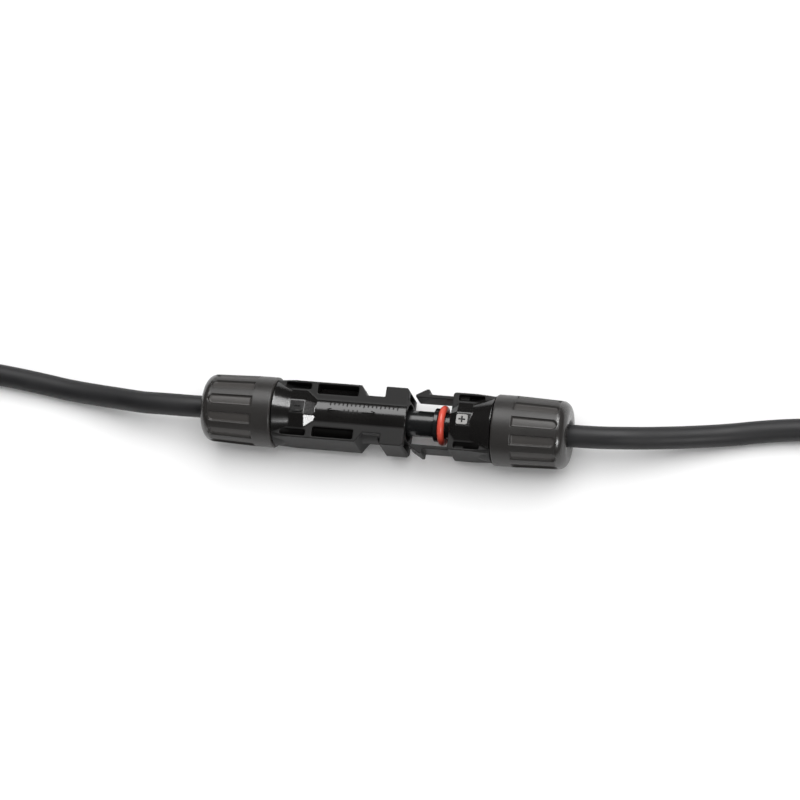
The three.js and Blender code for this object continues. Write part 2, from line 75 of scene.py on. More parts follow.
PLATE_Y, PLATE_Z = 7.95, 5.5
TUBE_R, NECK_R, RIM_R = 6.3, 7.4, 9.0
CONE_LENGTH, NECK_LENGTH, CHAMFER_LENGTH = 4.8, 3.7, 2.9
SOCKET_FACE = 18.4
NOSE_R, FLANGE_R = 3.5, 4.55
FLANGE_X = (13.5, 14.7)
COLLAR_Y = 8.1
LARGE_POCKET = (-18.6, -7.4, 4.65, 7.35)  # x from and to, y from and to
SMALL_POCKET = (-27.4, -20.5, 5.65, 7.35)
SOCKET_POCKET = (20.0, 27.0, 5.65, 7.35)
ARM_POCKET = (22.0, 5.8, 7.65)  # x of its end, y from and to
ARM_ROOT, ARM_THICKNESS, BARB_LENGTH = 21.3, 1.0, 3.6
NOTCH = {"start": -6.7, "floor_start": -4.9, "end": 0.0, "floor_y": 5.2}
NUT_LENGTH = 20.1
NUT_RING = 5.5
NUT_REAR_R = 9.1
NUT_ROUND = 2.7
NUT_TAPER = (NUT_R - NUT_REAR_R) / (NUT_LENGTH - NUT_ROUND - NUT_RING)
SIDES = 128
GLAND_LENGTH, GLAND_R = 11.5, 6.9
GLAND_BORE_R, GLAND_BORE_LENGTH = 5.3, 6.8
CLIP_BORE_R = 3.3
RING_BORE_R, NOSE_BORE_R = 4.95, 3.9
PIN_CONTACT_BORE_R, SOCKET_CONTACT_BORE_R = 2.35, 2.85
LATCH_HALF_HEIGHT = 3.35
CORD_R = 3.0
LEAD_LENGTH = 250.0
FOLD_R, FLARE_R, RUN_SPACING = 18.0, 40.0, 6.3
TIE_FROM_MOUTH = 12.0

# ---- Camera ----

VIEW_FROM = Vector((0.22, -0.28, 0.934)).normalized()
CAMERA_DISTANCE = 0.8
CAMERA_LENS = 134.55
CONNECTOR_MIDDLE = Vector((0.0, 0.0, AXIS_Z * MM))
AIM = CONNECTOR_MIDDLE + Vector((0.0031, 0.0059, 0.0011))
AXIS_SLOPE = 0.0777  # how far the connector's axis runs downhill in the view


def make_camera():
    """A long lens above the near side, rolled so that the connector slopes down to the right."""
    data = bpy.data.cameras.new("camera")
    data.lens = CAMERA_LENS
    data.sensor_width = 36.0
    data.clip_start, data.clip_end = 0.05, 10.0
    camera = bpy.data.objects.new("camera", data)
    bpy.context.scene.collection.objects.link(camera)
    right = Vector((0, 0, 1)).cross(VIEW_FROM).normalized()
    up = VIEW_FROM.cross(right)
    across, upward = right.x, up.x
    roll = math.atan2(upward, across) + math.atan(AXIS_SLOPE)
    cos, sin = math.cos(roll), math.sin(roll)
    rolled_right = right * cos + up * sin
    rolled_up = up * cos - right * sin
    matrix = Matrix((rolled_right, rolled_up, VIEW_FROM)).transposed().to_4x4()
    matrix.translation = AIM + VIEW_FROM * CAMERA_DISTANCE
    camera.matrix_world = matrix
    bpy.context.scene.camera = camera


make_camera()

# ---- Materials ----


def node_material(name):
    material = bpy.data.materials.new(name)
    material.use_nodes = True
    tree = material.node_tree
    return material, tree, tree.nodes["Principled BSDF"]


def object_place(tree):
    return tree.nodes.new("ShaderNodeTexCoord").outputs["Object"]


def noise(tree, coords, scale, detail=2.0, roughness=0.5):
    texture = tree.nodes.new("ShaderNodeTexNoise")
    texture.inputs["Scale"].default_value = scale
    texture.inputs["Detail"].default_value = detail
    texture.inputs["Roughness"].default_value = roughness
    tree.links.new(coords, texture.inputs["Vector"])
    return texture.outputs["Fac"]


def mapped(tree, value, low, high, from_low=0.3, from_high=0.7):
    node = tree.nodes.new("ShaderNodeMapRange")
    node.inputs["From Min"].default_value = from_low
    node.inputs["From Max"].default_value = from_high
    node.inputs["To Min"].default_value = low
    node.inputs["To Max"].default_value = high
    tree.links.new(value, node.inputs["Value"])
    return node.outputs["Result"]


def mixed(tree, factor, first, second):
    """A blend of two colours, each a socket or three plain numbers."""
    node = tree.nodes.new("ShaderNodeMix")
    node.data_type = "RGBA"
    for slot, colour in (("A", first), ("B", second)):
        if isinstance(colour, tuple):
            node.inputs[slot].default_value = (*colour, 1)
        else:
            tree.links.new(colour, node.inputs[slot])
    tree.links.new(factor, node.inputs["Factor"])
    return node.outputs["Result"]


def bumped(tree, height, distance, under=None):
    node = tree.nodes.new("ShaderNodeBump")
    node.inputs["Strength"].default_value = 1.0
    node.inputs["Distance"].default_value = distance
    tree.links.new(height, node.inputs["Height"])
    if under is not None:
        tree.links.new(under, node.inputs["Normal"])
    return node.outputs["Normal"]


def maths(tree, operation, *values):
    """A math node fed with sockets or plain numbers."""
    node = tree.nodes.new("ShaderNodeMath")
    node.operation = operation
    for slot, value in zip(node.inputs, values):
        if isinstance(value, (int, float)):
            slot.default_value = value
        else:
            tree.links.new(value, slot)
    return node.outputs["Value"]


def moulded_plastic(name, dark, light, rough, grain_scale, grain_depth, wave_depth, specular=0.5):
    """Moulded plastic: slow colour and gloss variation, spark-eroded grain and a faint unevenness."""
    material, tree, shader = node_material(name)
    coords = object_place(tree)
    slow = noise(tree, coords, 90.0, 3.0)
    fine = noise(tree, coords, grain_scale, 3.0, 0.6)
    tree.links.new(mixed(tree, slow, dark, light), shader.inputs["Base Color"])
    tree.links.new(mapped(tree, slow, *rough), shader.inputs["Roughness"])
    wave = bumped(tree, slow, wave_depth)
    tree.links.new(bumped(tree, fine, grain_depth, wave), shader.inputs["Normal"])
    shader.inputs["Specular IOR Level"].default_value = specular
    return material


def rubber(name, dark, light, rough, depth):
    return moulded_plastic(name, dark, light, rough, 2600.0, depth, 0.00001, 0.4)


def metal(name, colour, rough, brushed_scale):
    """Bare metal: tarnish in slow patches over fine brushing."""
    material, tree, shader = node_material(name)
    coords = object_place(tree)
    slow = noise(tree, coords, 400.0, 2.0)
    fine = noise(tree, coords, brushed_scale, 2.0)
    darker = tuple(c * 0.82 for c in colour)
    tree.links.new(mixed(tree, slow, darker, colour), shader.inputs["Base Color"])
    tree.links.new(mapped(tree, slow, *rough), shader.inputs["Roughness"])
    tree.links.new(bumped(tree, fine, 0.000008), shader.inputs["Normal"])
    shader.inputs["Metallic"].default_value = 1.0
    return material


def off_axis(tree, coordinates):
    """Sockets for a point's distance from the connector's middle along each of the coordinates, in metres."""
    split = tree.nodes.new("ShaderNodeSeparateXYZ")
    tree.links.new(object_place(tree), split.inputs["Vector"])
    distances = []
    for coordinate in coordinates:
        value = split.outputs[coordinate]
        if coordinate == "Z":
            value = maths(tree, "SUBTRACT", value, AXIS_Z * MM)
        distances.append(maths(tree, "ABSOLUTE", value))
    return distances


GRAINED_ROUGHER, POLISHED_SPECULAR, GRAINED_SPECULAR = 0.3, 0.5, 0.2


def grain_flats(material):
    """The flats and all that lies under them are spark-eroded: rougher and duller than the round parts."""
    tree = material.node_tree
    shader = tree.nodes["Principled BSDF"]
    (above,) = off_axis(tree, "Z")
    grained = mapped(tree, above, 1.0, 0.0, (PLATE_Z + 0.06) * MM, (PLATE_Z + 0.12) * MM)
    polished = shader.inputs["Roughness"].links[0].from_socket
    rougher = maths(tree, "MULTIPLY_ADD", grained, GRAINED_ROUGHER, polished)
    tree.links.new(rougher, shader.inputs["Roughness"])
    specular = mapped(tree, grained, POLISHED_SPECULAR, GRAINED_SPECULAR, 0.0, 1.0)
    tree.links.new(specular, shader.inputs["Specular IOR Level"])


# Painted sheen: the flute floors' paler base colour stands in for the lamps' reflection off their textured
# floors.
FLUTE_SHEEN_TONE, FLUTE_SHEEN_SHARE = (0.058, 0.054, 0.051), 0.85
ROUNDING_START, ROUNDING_END = 17.2, 17.8  # from the cone's rim
ROUNDING_SMOOTHER, LAND_SPECULAR, ROUNDING_SPECULAR = -0.14, 0.36, 0.7


def finish_nut(material):
    """A nut's flute floors get a paler base colour than its lands, painted sheen standing in for the lamps'
    reflection off them; its rear rounding is polished.
    """
    tree = material.node_tree
    shader = tree.nodes["Principled BSDF"]
    along, across, above = off_axis(tree, "XYZ")
    squares = [maths(tree, "MULTIPLY", value, value) for value in (across, above)]
    radius = maths(tree, "SQRT", maths(tree, "ADD", *squares))
    behind_ring = maths(tree, "SUBTRACT", along, (RIM_X + NUT_RING) * MM)
    land = maths(tree, "MULTIPLY_ADD", behind_ring, -NUT_TAPER, NUT_R * MM)
    floor = mapped(tree, maths(tree, "SUBTRACT", land, radius), 0.0, 1.0, 0.3 * MM, 0.5 * MM)
    rounding = mapped(tree, along, 0.0, 1.0, (RIM_X + ROUNDING_START) * MM, (RIM_X + ROUNDING_END) * MM)
    sheen_mask = maths(tree, "MULTIPLY", floor, maths(tree, "SUBTRACT", 1.0, rounding))
    plain = shader.inputs["Base Color"].links[0].from_socket
    # Painted sheen: the flute floors are mixed towards a paler colour in place of the lamps' reflection.
    painted_sheen = mixed(tree, maths(tree, "MULTIPLY", sheen_mask, FLUTE_SHEEN_SHARE), plain, FLUTE_SHEEN_TONE)
    tree.links.new(painted_sheen, shader.inputs["Base Color"])
    moulded = shader.inputs["Roughness"].links[0].from_socket
    smoother = maths(tree, "MULTIPLY_ADD", rounding, ROUNDING_SMOOTHER, moulded)
    tree.links.new(smoother, shader.inputs["Roughness"])
    specular = mapped(tree, rounding, LAND_SPECULAR, ROUNDING_SPECULAR, 0.0, 1.0)
    tree.links.new(specular, shader.inputs["Specular IOR Level"])


# Each plastic: dark and light colour, roughness range, grain scale and depth, depth of its unevenness.
HOUSING = moulded_plastic(
    "housing_plastic", (0.0075, 0.007, 0.007), (0.0115, 0.011, 0.0105), (0.15, 0.2), 2400.0, 0.000006, 0.00002
)
grain_flats(HOUSING)
NUT = moulded_plastic(
    "nut_plastic", (0.022, 0.0205, 0.0195), (0.03, 0.028, 0.0265), (0.34, 0.42), 3000.0, 0.00003, 0.00002,
    LAND_SPECULAR,
)
finish_nut(NUT)
PAD = moulded_plastic(
    "pad_plastic", (0.2, 0.195, 0.19), (0.4, 0.39, 0.38), (0.3, 0.45), 1500.0, 0.00002, 0.00002
)
NOSE = moulded_plastic(
    "nose_plastic", (0.008, 0.0085, 0.009), (0.012, 0.0125, 0.013), (0.2, 0.26), 2400.0, 0.000006, 0.00001
)
CAGE = moulded_plastic(
    "cage_plastic", (0.02, 0.02, 0.021), (0.03, 0.03, 0.031), (0.5, 0.6), 2400.0, 0.00002, 0.00002
)
SEAL = rubber("seal_rubber", (0.006, 0.006, 0.006), (0.011, 0.011, 0.011), (0.6, 0.75), 0.00002)
RING = rubber("ring_rubber", (0.6, 0.07, 0.045), (0.7, 0.09, 0.055), (0.3, 0.42), 0.000008)
SHEATH = rubber("sheath_rubber", (0.009, 0.009, 0.010), (0.017, 0.0165, 0.018), (0.48, 0.62), 0.00003)
CORE = moulded_plastic(
    "core_insulation", (0.72, 0.69, 0.62), (0.8, 0.77, 0.7), (0.4, 0.5), 1800.0, 0.00001, 0.00001
)
TINNED = metal("tinned_copper", (0.78, 0.76, 0.73), (0.28, 0.4), 3000.0)
SPRING = metal("spring_steel", (0.6, 0.61, 0.62), (0.25, 0.35), 3600.0)
TIE = moulded_plastic(
    "tie_nylon", (0.010, 0.010, 0.011), (0.015, 0.015, 0.016), (0.34, 0.44), 1600.0, 0.00001, 0.00002
)

# ---- Leads ----

# Each lead's stretch that isn't folded, in millimetres: from inside the seal to its hank's mouth.
PIN_LEAD = [
    (-35.6, 0, 9.5), (-49.9, 0, 9.5), (-58, 0, 9.4), (-63, 0.1, 9.1), (-68, 0.3, 8.3), (-73, 0.9, 7.2),
    (-78, 1.6, 6.0), (-83, 2.3, 4.8), (-88, 3.0, 3.8), (-93, 3.7, 3.2), (-98, 4.5, 3.0), (-106, 5.6, 3.0),
    (-114, 6.5, 3.0), (-122, 7.1, 3.0), (-130, 7.3, 3.0),
]
SOCKET_LEAD = [
    (35.6, 0, 9.5), (49.9, 0, 9.5), (58, 0.2, 9.4), (63, 0.6, 9.1), (68, 1.2, 8.3), (73, 2.0, 7.2),
    (78, 2.9, 6.0), (83, 3.9, 4.8), (88, 4.9, 3.8), (93, 5.9, 3.2), (98, 6.9, 3.0), (106, 8.1, 3.0),
    (114, 8.9, 3.0), (120, 9.2, 3.0), (126, 9.3, 3.0),
]
TIE_LIFT = 0.9  # the cable tie under the runs lifts them this much
TIE_LIFT_REACH = 12.0


def hank_path(run_length):
    """The hank's centreline from its mouth, heading +X: two runs that part into an end loop."""
    turn = math.acos((FLARE_R + RUN_SPACING / 2) / (FLARE_R + FOLD_R))
    flare_x = run_length + FLARE_R * math.sin(turn)
    loop_x = flare_x + FOLD_R * math.sin(turn)
    flare_y = RUN_SPACING / 2 + FLARE_R
    points = [(run_length * share, RUN_SPACING / 2) for share in (0.35, 0.7)]

    def arc(x, y, radius, start, end, steps):
        for i in range(steps):
            angle = start + (end - start) * i / steps
            points.append((x + radius * math.cos(angle), y + radius * math.sin(angle)))

    arc(run_length, flare_y, FLARE_R, -math.pi / 2, -math.pi / 2 + turn, 5)
    arc(loop_x, 0, FOLD_R, math.pi / 2 + turn, -math.pi / 2 - turn, 20)
    arc(run_length, -flare_y, FLARE_R, math.pi / 2 - turn, math.pi / 2, 5)
    points += [(run_length * share, -RUN_SPACING / 2) for share in (1.0, 0.65, 0.3, 0.0)]
    return points


def loop_length():
    turn = math.acos((FLARE_R + RUN_SPACING / 2) / (FLARE_R + FOLD_R))
    return 2 * FLARE_R * turn + FOLD_R * (math.pi + 2 * turn)


def laid_length(route):
    """Length of the route outside the nut."""
    points = [Vector(p) for p in route[1:]]
    return sum((b - a).length for a, b in zip(points, points[1:]))


def lead_points(route, direction):
    """The whole cable's centreline in millimetres, from inside the gland to the end of its sheath."""
    mouth_x, mouth_y, _ = route[-1]
    middle_y = mouth_y - RUN_SPACING / 2
    run_length = (LEAD_LENGTH - laid_length(route) - loop_length()) / 2
    points = [Vector(p) for p in route]
    for x, y in hank_path(run_length):
        away = min(1.0, abs(x - TIE_FROM_MOUTH) / TIE_LIFT_REACH)
        lift = TIE_LIFT * (1 - away * away * (3 - 2 * away))
        points.append(Vector((mouth_x + direction * x, middle_y + y, CORD_R + lift)))
    return points


def make_lead(name, body, route, direction):
    """One cable as a smooth curve, with its stripped end and its tie as separate pieces."""
    data = bpy.data.curves.new(name + "_cable", "CURVE")
    data.dimensions = "3D"
    data.bevel_depth = CORD_R * MM
    data.bevel_resolution = 8
    data.resolution_u = 10
    data.use_fill_caps = True
    points = lead_points(route, direction)
    spline = data.splines.new("BEZIER")
    spline.bezier_points.add(len(points) - 1)
    for i, (knot, point) in enumerate(zip(spline.bezier_points, points)):
        before, after = points[max(i - 1, 0)], points[min(i + 1, len(points) - 1)]
        tangent = (after - before).normalized()
        knot.co = point * MM
        knot.handle_left = (point - tangent * (point - before).length / 3) * MM
        knot.handle_right = (point + tangent * (after - point).length / 3) * MM
    cable = bpy.data.objects.new(name + "_cable", data)
    bpy.context.scene.collection.objects.link(cable)
    data.materials.append(SHEATH)
    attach(cable, body)
    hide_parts(name + "_lead", name + "_lead_hank")


# ---- Mesh work, in millimetres about the connector's axis ----

SHARP_ANGLE = math.radians(35)


def mesh_object(name, points, faces):
    mesh = bpy.data.meshes.new(name)
    mesh.from_pydata([tuple(p) for p in points], [], faces)
    work = bmesh.new()
    work.from_mesh(mesh)
    bmesh.ops.recalc_face_normals(work, faces=work.faces)
    work.to_mesh(mesh)
    work.free()
    made = bpy.data.objects.new(name, mesh)
    bpy.context.scene.collection.objects.link(made)
    return made


def lathe(profile, sides=SIDES, radius=None, phase=0.0):
    """A turned solid round X from [x, r] points. It closes on itself, or ends on the axis.
    radius, if given, changes each point's radius: radius(x, r, angle)."""
    points, rings = [], []
    for x, r in profile:
        if r < 1e-6:
            rings.append([len(points)])
            points.append((x, 0, 0))
            continue
        rings.append(list(range(len(points), len(points) + sides)))
        for k in range(sides):
            angle = 2 * math.pi * k / sides + phase
            here = radius(x, r, angle) if radius else r
            points.append((x, here * math.cos(angle), here * math.sin(angle)))
    closed = all(len(ring) > 1 for ring in rings)
    faces = []
    for a, b in zip(rings, rings[1:] + ([rings[0]] if closed else [])):
        for k in range(sides):
            after = (k + 1) % sides
            if len(a) == 1:
                faces.append((a[0], b[after], b[k]))
            elif len(b) == 1:
                faces.append((a[k], a[after], b[0]))
            else:
                faces.append((a[k], a[after], b[after], b[k]))
    return mesh_object("turned", points, faces)


def prism(outline, z0, z1):
    """An outline in the XY plane, extruded from z0 to z1."""
    count = len(outline)
    points = [(x, y, z0) for x, y in outline] + [(x, y, z1) for x, y in outline]
    faces = [tuple(range(count)), tuple(range(2 * count - 1, count - 1, -1))]
    faces += [(i, (i + 1) % count, count + (i + 1) % count, count + i) for i in range(count)]
    return mesh_object("prism", points, faces)


def box(x0, x1, y0, y1, z0, z1):
    y0, y1 = sorted((y0, y1))
    return prism([(x0, y0), (x1, y0), (x1, y1), (x0, y1)], z0, z1)


def rounded(x0, x1, y0, y1, radius, steps=5):
    """A rectangle with round corners, as an outline."""
    y0, y1 = sorted((y0, y1))
    corners = [(x1, y0, -90), (x1, y1, 0), (x0, y1, 90), (x0, y0, 180)]
    outline = []
    for x, y, start in corners:
        cx = x - radius if x == x1 else x + radius
        cy = y - radius if y == y1 else y + radius
        for i in range(steps + 1):
            angle = math.radians(start + 90 * i / steps)
            outline.append((cx + radius * math.cos(angle), cy + radius * math.sin(angle)))
    return outline


def evaluated(thing):
    graph = bpy.context.evaluated_depsgraph_get()
    mesh = bpy.data.meshes.new_from_object(thing.evaluated_get(graph))
    thing.modifiers.clear()
    thing.data = mesh
    return thing


def combine(base, tools, operation):
    for tool in tools:
        modifier = base.modifiers.new("combine", "BOOLEAN")
        modifier.operation = operation
        modifier.solver = "MANIFOLD"
        modifier.object = tool
    evaluated(base)
    for tool in tools:
        bpy.data.objects.remove(tool)
    return base


def together(parts):
    """Separate solids as one object, so that they can be cut out in one go."""
    work = bmesh.new()
    for part in parts:
        work.from_mesh(part.data)
        bpy.data.objects.remove(part)
    mesh = bpy.data.meshes.new("together")
    work.to_mesh(mesh)
    work.free()
    made = bpy.data.objects.new("together", mesh)
    bpy.context.scene.collection.objects.link(made)
    return made


def join(base, *tools):
    return combine(base, tools, "UNION")


def cut(base, *tools):
    return combine(base, tools, "DIFFERENCE")


def common(base, tool):
    return combine(base, [tool], "INTERSECT")


def soften(thing, voxel, rounds):
    """Rebuilds a solid with even faces and rounds its edges, as a mould does."""
    remesh = thing.modifiers.new("remesh", "REMESH")
    remesh.mode = "VOXEL"
    remesh.voxel_size = voxel
    smooth = thing.modifiers.new("smooth", "SMOOTH")
    smooth.factor = 0.5
    smooth.iterations = rounds
    return evaluated(thing)


def finish_piece(thing, name, body, material, replaces=(), lift=True):
    """Moves a finished shape from millimetres about the axis into the frame, and puts it on its body."""
    place = Matrix.Translation((0, 0, AXIS_Z * MM if lift else 0)) @ Matrix.Scale(MM, 4)
    thing.data.transform(place)
    thing.name = name
    thing.data.name = name
    thing.data.materials.clear()
    thing.data.materials.append(material)
    for polygon in thing.data.polygons:
        polygon.use_smooth = True
    thing.data.set_sharp_from_angle(angle=SHARP_ANGLE)
    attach(thing, body)
    if replaces:
        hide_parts(*replaces)
    return thing


# ---- Gland nuts ----

LATHE_STEP = 0.2
ROUND_STEPS = 18
NUT_BORE_R = 8.0
FLUTES = 12
FLUTE_START, FLUTE_END = 5.6, 17.7  # from the cone's rim
FLUTE_WIDTH, FLUTE_DEPTH, FLUTE_EDGE = 2.8, 0.62, 0.32


def smoothstep(low, high, value):
    share = min(1.0, max(0.0, (value - low) / (high - low)))
    return share * share * (3 - 2 * share)


def flute_depth(along, angle):
    """How deep the nut's surface is cut: recesses that are square at the front and round at the rear."""
    pitch = 2 * math.pi / FLUTES
    across = abs((angle + pitch / 2) % pitch - pitch / 2) * NUT_R
    half = FLUTE_WIDTH / 2
    rear = FLUTE_END - half
    if along > rear:
        outside = math.hypot(along - rear, across) - half
    else:
        outside = max(across - half, FLUTE_START - along)
    return FLUTE_DEPTH * (1 - smoothstep(-FLUTE_EDGE, 0.1, outside))


def nut_profile():
    """Front face, outside and rear rounding, then back through the cable hole and the bore."""
    outer, bore = NUT_R, NUT_BORE_R
    profile = [(0.3, 8.6), (0.3, outer - 0.35), (0.4, outer - 0.12), (0.6, outer)]
    rear_round = NUT_LENGTH - NUT_ROUND
    for i in range(1, int((rear_round - 0.6) / LATHE_STEP)):
        x = 0.6 + LATHE_STEP * i
        profile.append((x, outer - NUT_TAPER * max(0.0, x - NUT_RING)))
    for i in range(ROUND_STEPS + 1):
        angle = math.pi / 2 * i / ROUND_STEPS
        x = rear_round + NUT_ROUND * math.sin(angle)
        profile.append((x, NUT_REAR_R - NUT_ROUND * (1 - math.cos(angle))))
    rear, hole = NUT_LENGTH, 3.6
    profile += [(rear, hole + 1.0), (rear - 0.1, hole + 0.65), (rear - 0.7, hole + 0.15), (rear - 1.0, hole)]
    profile += [(17.6, hole), (14.3, 7.4), (12.6, bore - 0.05), (12.4, bore)]
    profile += [(12.4 - LATHE_STEP * i, bore) for i in range(1, int(11.4 / LATHE_STEP))]
    return profile + [(1.0, 8.2)]


NUT_THREAD = {"start": 2.0, "end": 10.0, "pitch": 2.0, "height": 0.65}
NECK_THREAD = {"start": 1.0, "end": 9.0, "pitch": 2.0, "height": 0.7}


def thread_height(x, angle, start, end, pitch, height):
    """A rounded helical ridge, right-handed about +X."""
    phase = ((x - start) / pitch - angle / (2 * math.pi)) % 1.0
    off_middle = min(phase, 1 - phase) * pitch
    ridge = 1 - smoothstep(0.22, 0.5, off_middle)
    fade = smoothstep(start - 0.6, start + 0.6, x) * (1 - smoothstep(end - 0.6, end + 0.6, x))
    return height * ridge * fade


def nut_radius(x, r, angle):
    if r > 8.3 and x > 1.0:
        return r - flute_depth(x, angle)
    if abs(r - NUT_BORE_R) < 0.01:
        return r - thread_height(x, angle, **NUT_THREAD)
    return r


def make_nut(name, direction):
    nut = lathe(nut_profile(), 360, nut_radius)
    turn = Matrix.Rotation(math.pi if direction < 0 else 0.0, 4, "Z")
    nut.data.transform(Matrix.Translation((direction * RIM_X, 0, 0)) @ turn)
    return finish_piece(nut, name + "_nut", name + "_nut", NUT, [name + "_gland_nut"])


# ---- Housings ----

NECK_SIDES = 12
PAD_SIZE, PAD_HEIGHT = (3.0, 2.7), 0.38
GROOVE_DEPTH = 0.17
TICKS, TICK_START, TICK_PITCH, TICK_HEIGHT, TICK_ANGLE = 17, -14.4, 1.15, 1.2, math.radians(18)


def faceted(profile):
    """A twelve-sided stretch with one facet square to the top. Radii are to the facets."""
    flat = 1 / math.cos(math.pi / NECK_SIDES)
    return lathe([(x, r * flat) for x, r in profile], NECK_SIDES, phase=math.pi / NECK_SIDES)


def latch_channels(x0, x1, y0, y1):
    """Straight slots for the latch arms, one on each side."""
    height = LATCH_HALF_HEIGHT
    return [box(x0, x1, side * y0, side * y1, -height, height) for side in (1, -1)]


def pocket_tools(x0, x1, y0, y1, web=1.3):
    """Blind pockets with round corners in the top and the bottom of both wings."""
    tools = []
    for side in (1, -1):
        outline = rounded(x0, x1, side * y0, side * y1, 0.4)
        tools.append(prism(outline, web, 9))
        tools.append(prism(outline, -9, -web))
    return tools


def rim_limit(direction, front):
    profile = [(RIM_X + 0.1, 0), (RIM_X + 0.1, RIM_R), (RIM_X - 6, 9.75), (front, 9.95), (front, 0)]
    return lathe([(direction * x, r) for x, r in profile])


def neck_pads(middle, direction):
    """Raised polarity pads on the top and the bottom, with a plus or a minus cut into them."""
    pads = []
    half_x, half_y = PAD_SIZE[0] / 2, PAD_SIZE[1] / 2
    for top in (1, -1):
        outline = rounded(middle - half_x, middle + half_x, -half_y, half_y, 0.5)
        pad = prism(outline, *sorted((top * (NECK_R - 0.6), top * (NECK_R + PAD_HEIGHT))))
        floor, roof = sorted((top * (NECK_R - 1), top * (NECK_R + 1)))
        marks = [box(middle - 0.95, middle + 0.95, -0.22, 0.22, floor, roof)]
        if direction > 0:
            marks.append(box(middle - 0.22, middle + 0.22, -0.9, 0.9, floor, roof))
        pads.append(cut(pad, *marks))
    return pads


def gland_neck(direction):
    """The threaded neck under a nut."""
    start = -0.5
    profile = [(start, 0), (start, GLAND_R)]
    profile += [(start + LATHE_STEP * i, GLAND_R) for i in range(1, int(11.6 / LATHE_STEP))]
    profile += [(GLAND_LENGTH - 0.2, GLAND_R), (GLAND_LENGTH, GLAND_R - 0.3), (GLAND_LENGTH, 0)]

    def radius(x, r, angle):
        if r < GLAND_R - 0.05:
            return r
        return r + thread_height(x, angle, **NECK_THREAD)

    neck = lathe(profile, 96, radius)
    turn = Matrix.Rotation(math.pi if direction < 0 else 0.0, 4, "Z")
    neck.data.transform(Matrix.Translation((direction * RIM_X, 0, 0)) @ turn)
    return neck


def plain_bar(x0, x1, r, sides=64):
    return lathe([(x0, 0), (x0, r), (x1, r), (x1, 0)], sides)


def groove(start, end, angle):
    """Cuts a V from start to end. Both are (x, across) on the tube, at an angle from its top towards +Y."""
    (x0, y0), (x1, y1) = start, end
    length = math.hypot(x1 - x0, y1 - y0)
    half = GROOVE_DEPTH
    made = prism([(-half, 0), (0, -half), (half, 0), (0, half)], 0, length)
    lay = Matrix(((0, 0, 1, 0), (1, 0, 0, 0), (0, 1, 0, 0), (0, 0, 0, 1)))
    turn = Matrix.Rotation(math.atan2(y1 - y0, x1 - x0), 4, "Z")
    place = Matrix.Translation((x0, y0, TUBE_R)) @ turn @ lay
    made.data.transform(Matrix.Rotation(-angle, 4, "X") @ place)
    return made


def arrow(tip_x, direction, angle):
    """An engraved arrow that points along X: a shaft, and two strokes for its head."""
    back = tip_x - direction * 3.4
    neck = tip_x - direction * 1.1
    gap = 0.12
    return [
        groove(*sorted(((tip_x, 0), (back, 0))), angle),
        groove((neck, 0.6), (tip_x, GROOVE_DEPTH + gap), angle),
        groove((neck, -0.6), (tip_x, -GROOVE_DEPTH - gap), angle),
    ]


def tube_marks():
    """Engraved marks on the top and the bottom: arrows that point apart, bars between, and rows of ticks."""
    tools = []
    for up in (0.0, math.pi):
        tools += arrow(-15.0, -1, up) + arrow(-2.0, 1, up)
        tools += [groove((x, -0.6), (x, 0.6), up) for x in (-10.4, -9.2, -8.0, -6.8)]
        for side in (1, -1):
            angle = up + side * TICK_ANGLE
            for i in range(TICKS):
                half = TICK_HEIGHT / 2 if i % 4 == 0 else TICK_HEIGHT / 3
                x = TICK_START + i * TICK_PITCH
                tools.append(groove((x, -half), (x, half), angle))
    return tools


def make_pin_housing():
    rear = -RIM_X
    neck_rear = rear + CONE_LENGTH
    neck_front = neck_rear + NECK_LENGTH
    tube_start = neck_front + CHAMFER_LENGTH
    end = NOTCH["end"]
    half = [
        (rear - 0.1, PLATE_Y), (NOTCH["start"], PLATE_Y), (NOTCH["floor_start"], NOTCH["floor_y"]),
        (end, NOTCH["floor_y"]), (end, COLLAR_Y - 0.2), (end + 0.2, COLLAR_Y),
        (COLLAR_FACE - 0.6, COLLAR_Y), (COLLAR_FACE, COLLAR_Y - 0.7),
    ]
    outline = half + [(x, -y) for x, y in reversed(half)]
    plate = common(prism(outline, -PLATE_Z, PLATE_Z), rim_limit(-1, -COLLAR_FACE - 1))
    plate = cut(plate, *pocket_tools(*LARGE_POCKET), *pocket_tools(*SMALL_POCKET))
    tube = plain_bar(tube_start - 1, COLLAR_FACE, TUBE_R, SIDES)
    cone = lathe([(rear, 0), (rear, RIM_R), (neck_rear, NECK_R), (neck_rear + 0.05, 0)])
    neck = faceted([
        (neck_rear - 0.3, 0), (neck_rear - 0.3, NECK_R), (neck_front, NECK_R),
        (tube_start, TUBE_R), (tube_start, 0),
    ])
    body = join(plate, tube, cone, neck, gland_neck(-1))
    channels = latch_channels(end - 1, COLLAR_FACE + 1, 5.35, 7.4)
    gland_end = rear - GLAND_LENGTH
    bores = [  # for the O-ring, the nose, the contact, its clip and the cable's seal
        plain_bar(COLLAR_FACE - 5.5, COLLAR_FACE + 1, RING_BORE_R),
        plain_bar(-15.5, COLLAR_FACE, NOSE_BORE_R),
        plain_bar(gland_end - 1, -14.5, PIN_CONTACT_BORE_R),
        plain_bar(gland_end - 1, -17.3, CLIP_BORE_R),
        plain_bar(gland_end - 1, gland_end + GLAND_BORE_LENGTH, GLAND_BORE_R),
    ]
    body = cut(body, *bores, *channels)
    soften(body, voxel=0.16, rounds=3)
    cut(body, together(tube_marks()))
    join(body, *neck_pads((neck_rear + neck_front) / 2, -1))
    return finish_piece(body, "pin_shell", "pin_half", HOUSING, ["pin_housing"])


